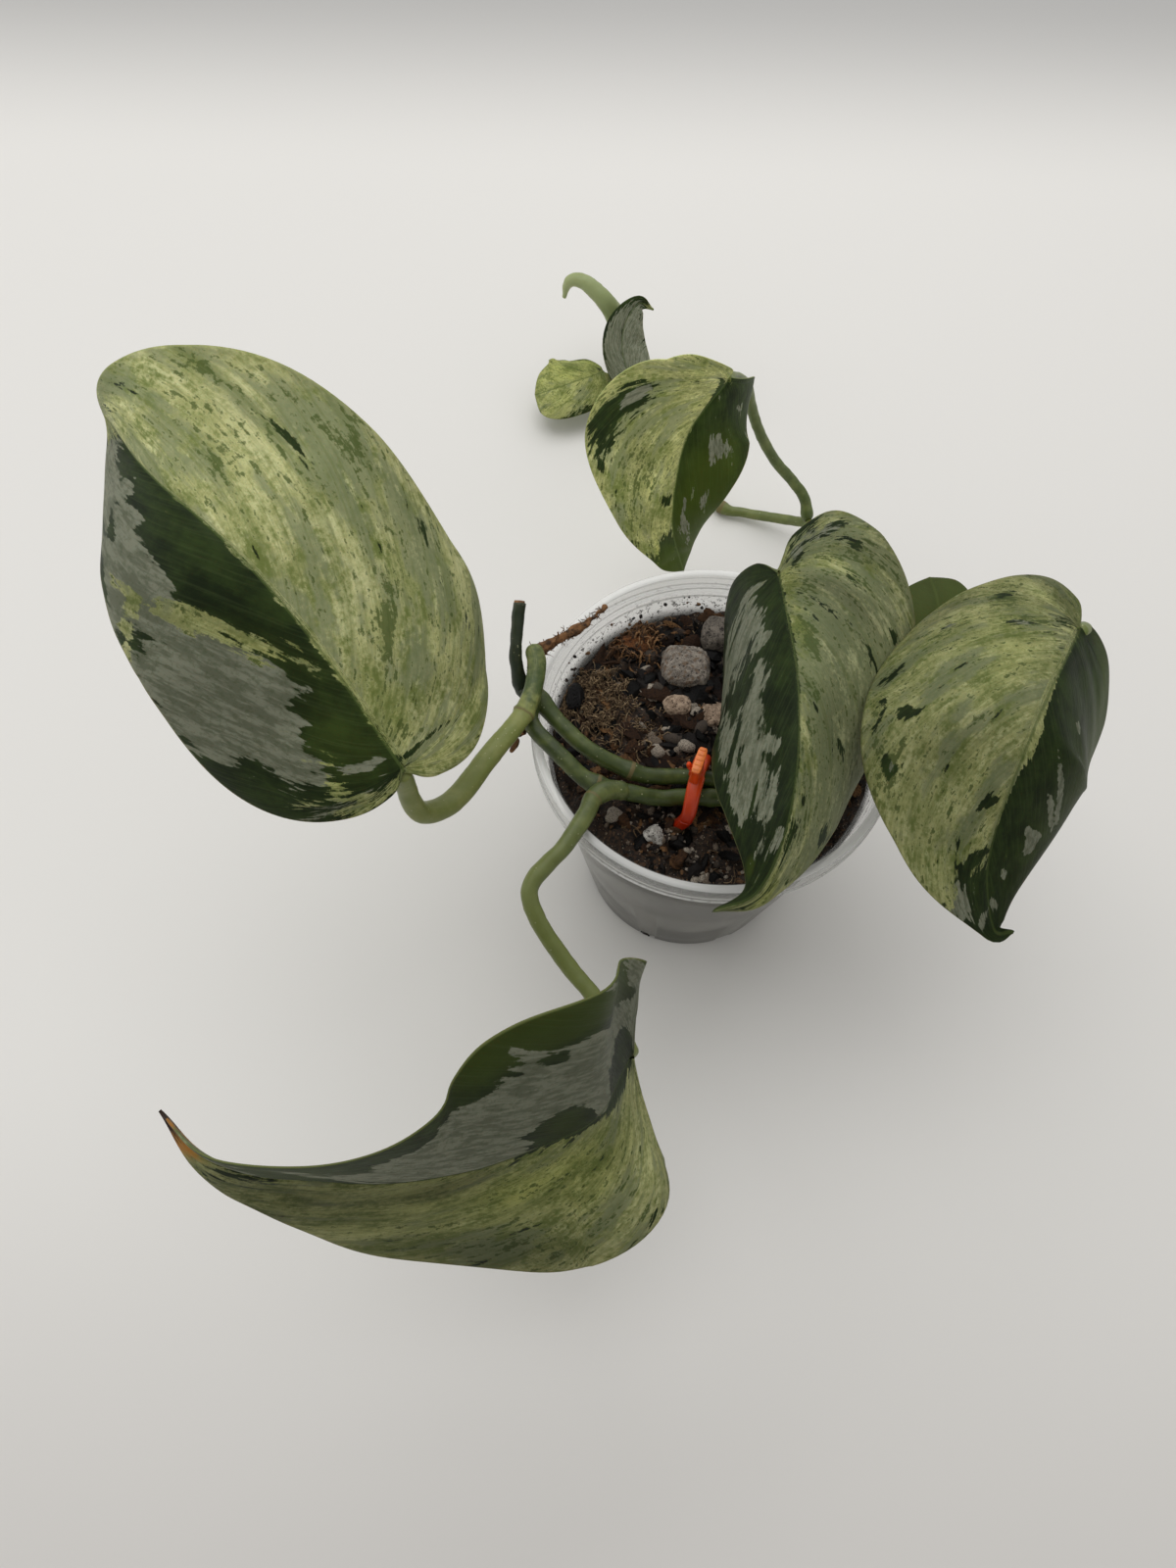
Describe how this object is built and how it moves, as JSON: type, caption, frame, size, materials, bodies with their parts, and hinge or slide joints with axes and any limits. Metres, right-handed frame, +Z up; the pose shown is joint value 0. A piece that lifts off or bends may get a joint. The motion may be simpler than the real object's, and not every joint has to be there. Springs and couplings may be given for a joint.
{
  "type": "potted scindapsus plant",
  "caption": "Young trailing aroid with heart-shaped, half pale and half dark leaves, rooted in a chunky mix in a clear nursery pot, with a stem clip.",
  "frame": {"origin": "centre of the pot's flat underside", "axes": "+Z up; -Y towards the viewer of the picture; +X to the viewer's right; the trailing vine leaves the pot towards +Y"},
  "size_m": [0.2162, 0.3341, 0.1764],
  "materials": {
    "pot": "thin clear plastic, slightly milky, glossy",
    "soil": "rough, damp bark and coir mix",
    "vine": "satin green skin with brown scars",
    "petiole": "satin yellow-green skin",
    "leaf": "satin, half pale and half dark green with silver patches",
    "new_leaf": "smooth satin",
    "cut_stub": "satin, with a dry cut end",
    "dead_root": "dry and fibrous",
    "clip": "moulded, slightly translucent",
    "pumice": "rough and porous",
    "perlite": "chalky",
    "bark": "rough, split along the grain",
    "charcoal": "brittle, with a slight glint"
  },
  "bodies": {
    "root": {"pot": "pot", "soil": "soil", "vine_front": "vine", "vine_back": "vine", "leaf_a": "leaf", "leaf_b": "leaf", "leaf_c": "leaf", "leaf_d": "leaf", "leaf_e": "leaf", "leaf_f": "leaf", "leaf_g": "leaf", "leaf_h": "leaf", "petiole_a": "petiole", "petiole_b": "petiole", "petiole_c": "petiole", "petiole_d": "petiole", "petiole_e": "petiole", "petiole_f": "petiole", "petiole_g": "petiole", "petiole_h": "petiole", "new_leaf": "new_leaf", "cut_stub": "cut_stub", "dead_root": "dead_root", "stem_clip": "clip", "pumice_1": "pumice", "pumice_2": "pumice", "pumice_3": "pumice", "pumice_4": "pumice", "perlite_1": "perlite", "bark_1": "bark", "bark_2": "bark", "charcoal_1": "charcoal"}
  },
  "joints": []
}
